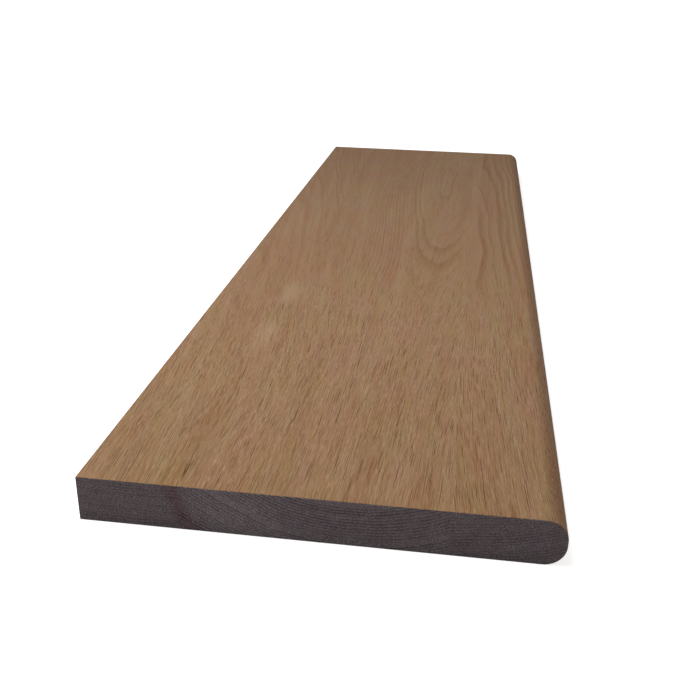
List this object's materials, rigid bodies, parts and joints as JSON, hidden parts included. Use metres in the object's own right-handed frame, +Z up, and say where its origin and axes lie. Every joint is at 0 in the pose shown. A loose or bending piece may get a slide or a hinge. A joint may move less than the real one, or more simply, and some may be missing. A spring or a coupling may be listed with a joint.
{
  "type": "stair tread",
  "caption": "Flat solid oak stair tread board with a rounded front nosing, a square back edge and square sawn ends.",
  "frame": {"origin": "centre of the underside, where the board rests on the stair's stringers", "axes": "+Z up out of the walking face, +X towards the rounded nosing, +Y along the step from one end to the other"},
  "size_m": [0.2604, 0.9144, 0.027],
  "materials": {
    "oak": "sanded, unfinished"
  },
  "bodies": {
    "root": {"tread": "oak"}
  },
  "joints": []
}
